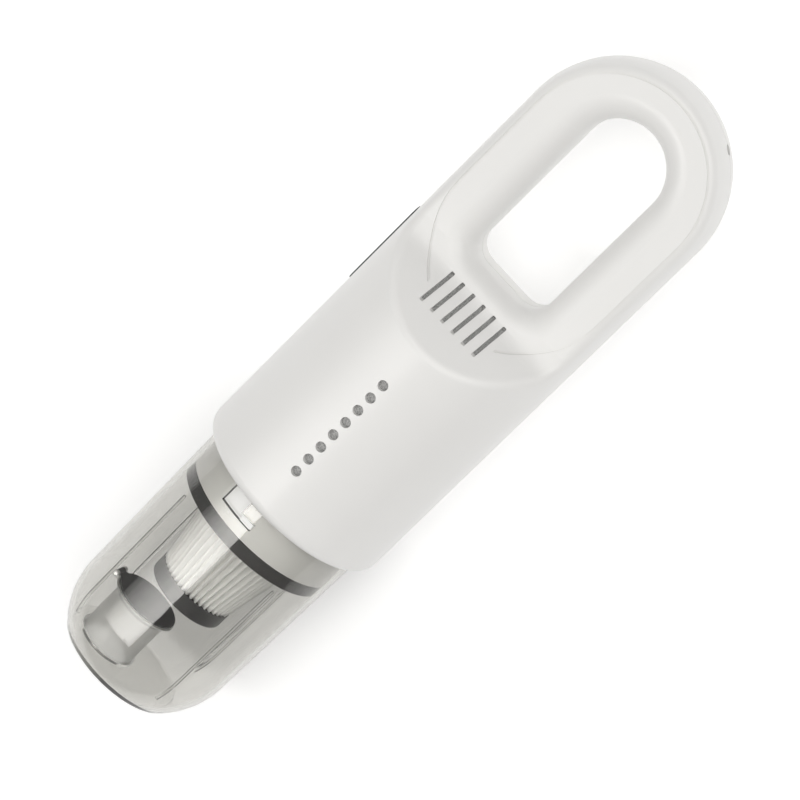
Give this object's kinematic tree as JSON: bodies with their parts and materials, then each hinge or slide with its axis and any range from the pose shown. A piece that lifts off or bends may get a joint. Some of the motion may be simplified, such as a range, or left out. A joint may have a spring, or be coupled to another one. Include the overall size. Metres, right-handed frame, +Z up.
{
  "type": "handheld vacuum",
  "caption": "Cordless handheld vacuum: round white body with a loop handle, smoky clear dust cup with an offset inlet, pleated filter, suction fan and motor inside.",
  "frame": {"origin": "centre of the bounding box's bottom face, on the surface that the vacuum lies on", "axes": "+X along the cleaner from the nozzle to the handle, +Y towards the power button and the offset inlet, +Z up while it lies on its back"},
  "size_m": [0.326, 0.0855, 0.0844],
  "materials": {
    "white_shell": "satin white moulded plastic",
    "white_inner": "white moulded plastic",
    "smoky_clear": "clear plastic with a light smoke tint",
    "frosted_clear": "lightly frosted clear plastic",
    "filter_paper": "white pleated filter paper",
    "dark_rubber": "soft dark rubber",
    "dark_plastic": "dark grey moulded plastic",
    "grey_plastic": "grey moulded plastic",
    "vent_foam": "open-cell grey foam",
    "zinc_steel": "zinc plated steel",
    "bearing_steel": "ground steel",
    "motor_steel": "plated steel can",
    "magnet": "ferrite",
    "rotor_iron": "laminated iron",
    "cell_wrap": "plastic-wrapped battery can",
    "nickel": "nickel strip",
    "board_green": "green circuit board",
    "button_grey": "soft grey button",
    "socket_black": "black socket"
  },
  "bodies": {
    "housing": {"front_shell": "white_shell", "rear_shell": "white_shell", "front_vent_foam": "vent_foam", "front_ramp_foam": "vent_foam", "rear_ramp_foam": "vent_foam", "shell_screws": "zinc_steel", "fan_guard": "white_inner", "fan_shroud": "grey_plastic", "fan_back_plate": "grey_plastic", "motor_can": "motor_steel", "motor_end_bell": "dark_plastic", "front_bearing": "bearing_steel", "rear_bearing": "bearing_steel", "motor_magnets": "magnet", "motor_damper": "dark_rubber", "battery_cell_upper": "cell_wrap", "battery_cell_lower": "cell_wrap", "battery_tabs": "nickel", "circuit_board": "board_green", "switch_board": "board_green", "tact_switch": "dark_plastic", "charging_socket": "socket_black", "charging_board": "board_green"},
    "filter": {"filter_sleeve": "white_inner", "filter_frame": "white_inner", "filter_cage": "dark_plastic", "filter_seal": "dark_rubber", "filter_pleats": "filter_paper", "filter_end_cap": "dark_plastic"},
    "cup": {"dust_cup": "smoky_clear", "inlet_tube": "frosted_clear", "flap_pin": "zinc_steel"},
    "flap": {"inlet_flap": "dark_rubber"},
    "button": {"power_button": "button_grey", "switch_plunger": "dark_plastic"},
    "fan": {"impeller": "dark_plastic", "motor_shaft": "bearing_steel", "motor_rotor": "rotor_iron"}
  },
  "joints": [
    {"name": "cup_pull", "type": "slide", "parent": "housing", "child": "filter", "axis": [-1, 0, 0], "range_m": [0, 0.12]},
    {"name": "cup_twist", "type": "hinge", "parent": "filter", "child": "cup", "pos_m": [-0.068, 0, 0.0419], "axis": [1, 0, 0], "range_deg": [0, 13.4]},
    {"name": "flap_swing", "type": "hinge", "parent": "cup", "child": "flap", "pos_m": [-0.1361, 0.025, 0.0419], "axis": [0, 0, 1], "range_deg": [0, 20], "stiffness_Nm_per_rad": 0.002, "springref_deg": -2.86},
    {"name": "button_press", "type": "slide", "parent": "housing", "child": "button", "axis": [0, -1, 0], "range_m": [0, 0.0008], "stiffness_N_per_m": 1500},
    {"name": "fan_spin", "type": "hinge", "parent": "housing", "child": "fan", "pos_m": [0, 0, 0.0419], "axis": [1, 0, 0], "continuous": true}
  ]
}
